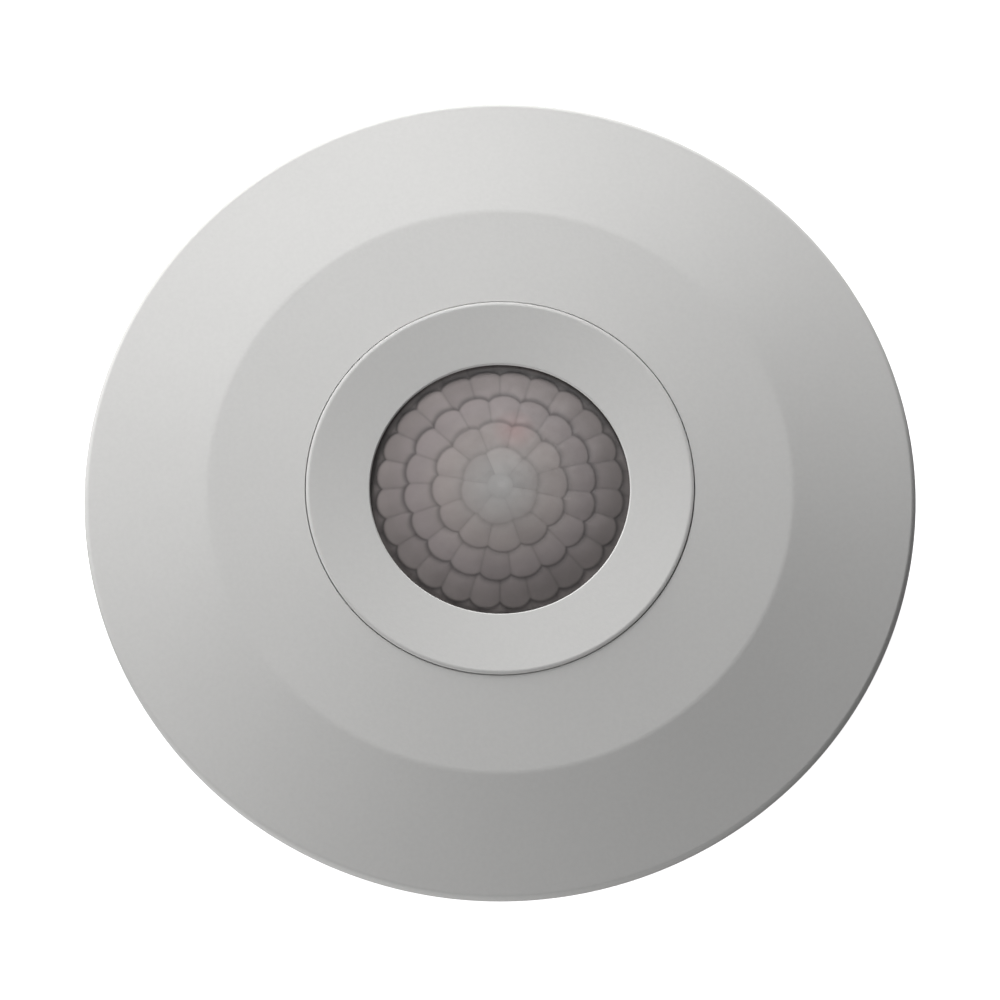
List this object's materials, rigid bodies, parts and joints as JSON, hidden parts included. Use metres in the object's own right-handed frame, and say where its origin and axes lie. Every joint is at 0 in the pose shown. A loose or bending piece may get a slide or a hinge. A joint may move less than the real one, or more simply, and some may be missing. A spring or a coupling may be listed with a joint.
{
  "type": "motion sensor",
  "caption": "Round low-profile ceiling-mount infrared motion detector: push-on cover with a domed faceted lens under a twist-lock ring, wired base with board, clamps, relay and tamper switch.",
  "frame": {"origin": "centre of the flat mounting plane at the back of the base", "axes": "+Z out of the lens along the optical axis, away from the ceiling or wall; -Y towards the cable entry, the terminal block and the pry notch; +X to the right of that when looking at the lens"},
  "size_m": [0.1, 0.1, 0.0242],
  "materials": {
    "shell_plastic": "fine satin moulded ABS, light warm grey-white",
    "lens_polyethylene": "milky translucent polyethylene, greyish, faceted inside",
    "board_laminate": "green solder mask over glass laminate",
    "black_plastic": "moulded black epoxy or nylon",
    "detector_metal": "nickel-plated can",
    "filter_silicon": "dark coated silicon infrared filter",
    "foam": "soft closed-cell foam",
    "led_epoxy": "diffused red epoxy",
    "blue_plastic": "moulded polyamide",
    "zinc_steel": "bright zinc plate",
    "brass": "plain",
    "white_actuator": "moulded acetal",
    "capacitor_sleeve": "shrink sleeve over aluminium"
  },
  "bodies": {
    "base": {"base_plate": "shell_plastic", "circuit_board": "board_laminate", "pyro_spacer": "black_plastic", "pyro_can": "detector_metal", "pyro_filter_window": "filter_silicon", "pyro_foam_seal": "foam", "status_led": "led_epoxy", "terminal_block_housing": "blue_plastic", "alarm_relay": "black_plastic", "electrolytic_capacitor_1": "capacitor_sleeve", "electrolytic_capacitor_2": "capacitor_sleeve", "microcontroller": "black_plastic", "amplifier_ic": "black_plastic", "tamper_switch_body": "black_plastic", "dip_switch_body": "blue_plastic", "trimmer_body": "blue_plastic", "board_screw_1": "zinc_steel", "board_screw_2": "zinc_steel", "board_screw_3": "zinc_steel", "tamper_spring": "zinc_steel"},
    "cover": {"front_cover": "shell_plastic", "fresnel_lens": "lens_polyethylene"},
    "bezel": {"lens_bezel": "shell_plastic"},
    "tamper_plunger": {"tamper_plunger": "white_actuator"},
    "trimmer_rotor": {"trimmer_rotor": "white_actuator"},
    "dip_slider_1": {"dip_slider_1": "white_actuator"},
    "dip_slider_2": {"dip_slider_2": "white_actuator"},
    "dip_slider_3": {"dip_slider_3": "white_actuator"},
    "terminal_screw_1": {"terminal_screw_1": "zinc_steel"},
    "terminal_clamp_1": {"terminal_clamp_1": "brass"},
    "terminal_screw_2": {"terminal_screw_2": "zinc_steel"},
    "terminal_clamp_2": {"terminal_clamp_2": "brass"},
    "terminal_screw_3": {"terminal_screw_3": "zinc_steel"},
    "terminal_clamp_3": {"terminal_clamp_3": "brass"},
    "terminal_screw_4": {"terminal_screw_4": "zinc_steel"},
    "terminal_clamp_4": {"terminal_clamp_4": "brass"},
    "terminal_screw_5": {"terminal_screw_5": "zinc_steel"},
    "terminal_clamp_5": {"terminal_clamp_5": "brass"},
    "terminal_screw_6": {"terminal_screw_6": "zinc_steel"},
    "terminal_clamp_6": {"terminal_clamp_6": "brass"}
  },
  "joints": [
    {"name": "cover_lift", "type": "slide", "parent": "base", "child": "cover", "axis": [0, 0, 1], "range_m": [0, 0.035]},
    {"name": "bezel_twist", "type": "hinge", "parent": "cover", "child": "bezel", "pos_m": [0, 0, 0.021], "axis": [0, 0, 1], "range_deg": [0, 20]},
    {"name": "tamper_press", "type": "slide", "parent": "base", "child": "tamper_plunger", "axis": [0, 0, 1], "range_m": [0, 0.0012], "deforming": ["tamper_spring"]},
    {"name": "range_trim", "type": "hinge", "parent": "base", "child": "trimmer_rotor", "pos_m": [0.024, 0.014, 0.01], "axis": [0, 0, 1], "range_deg": [-135, 135]},
    {"name": "dip_1", "type": "slide", "parent": "base", "child": "dip_slider_1", "axis": [0, 1, 0], "range_m": [0, 0.0016]},
    {"name": "dip_2", "type": "slide", "parent": "base", "child": "dip_slider_2", "axis": [0, 1, 0], "range_m": [0, 0.0016]},
    {"name": "dip_3", "type": "slide", "parent": "base", "child": "dip_slider_3", "axis": [0, 1, 0], "range_m": [0, 0.0016]},
    {"name": "terminal_screw_1_turn", "type": "hinge", "parent": "base", "child": "terminal_screw_1", "pos_m": [-0.0125, -0.0229, 0.0134], "axis": [0, 0, -1], "range_deg": [0, 720]},
    {"name": "terminal_clamp_1_rise", "type": "slide", "parent": "base", "child": "terminal_clamp_1", "axis": [0, 0, 1], "range_m": [0, 0.001]},
    {"name": "terminal_screw_2_turn", "type": "hinge", "parent": "base", "child": "terminal_screw_2", "pos_m": [-0.0075, -0.0229, 0.0134], "axis": [0, 0, -1], "range_deg": [0, 720]},
    {"name": "terminal_clamp_2_rise", "type": "slide", "parent": "base", "child": "terminal_clamp_2", "axis": [0, 0, 1], "range_m": [0, 0.001]},
    {"name": "terminal_screw_3_turn", "type": "hinge", "parent": "base", "child": "terminal_screw_3", "pos_m": [-0.0025, -0.0229, 0.0134], "axis": [0, 0, -1], "range_deg": [0, 720]},
    {"name": "terminal_clamp_3_rise", "type": "slide", "parent": "base", "child": "terminal_clamp_3", "axis": [0, 0, 1], "range_m": [0, 0.001]},
    {"name": "terminal_screw_4_turn", "type": "hinge", "parent": "base", "child": "terminal_screw_4", "pos_m": [0.0025, -0.0229, 0.0134], "axis": [0, 0, -1], "range_deg": [0, 720]},
    {"name": "terminal_clamp_4_rise", "type": "slide", "parent": "base", "child": "terminal_clamp_4", "axis": [0, 0, 1], "range_m": [0, 0.001]},
    {"name": "terminal_screw_5_turn", "type": "hinge", "parent": "base", "child": "terminal_screw_5", "pos_m": [0.0075, -0.0229, 0.0134], "axis": [0, 0, -1], "range_deg": [0, 720]},
    {"name": "terminal_clamp_5_rise", "type": "slide", "parent": "base", "child": "terminal_clamp_5", "axis": [0, 0, 1], "range_m": [0, 0.001]},
    {"name": "terminal_screw_6_turn", "type": "hinge", "parent": "base", "child": "terminal_screw_6", "pos_m": [0.0125, -0.0229, 0.0134], "axis": [0, 0, -1], "range_deg": [0, 720]},
    {"name": "terminal_clamp_6_rise", "type": "slide", "parent": "base", "child": "terminal_clamp_6", "axis": [0, 0, 1], "range_m": [0, 0.001]}
  ],
  "couplings": [
    {"joint": "tamper_press", "follows": "cover_lift", "ratio": 0.0342},
    {"joint": "terminal_screw_1_turn", "follows": "terminal_clamp_1_rise", "rad_per_m": 12560},
    {"joint": "terminal_screw_2_turn", "follows": "terminal_clamp_2_rise", "rad_per_m": 12560},
    {"joint": "terminal_screw_3_turn", "follows": "terminal_clamp_3_rise", "rad_per_m": 12560},
    {"joint": "terminal_screw_4_turn", "follows": "terminal_clamp_4_rise", "rad_per_m": 12560},
    {"joint": "terminal_screw_5_turn", "follows": "terminal_clamp_5_rise", "rad_per_m": 12560},
    {"joint": "terminal_screw_6_turn", "follows": "terminal_clamp_6_rise", "rad_per_m": 12560}
  ]
}
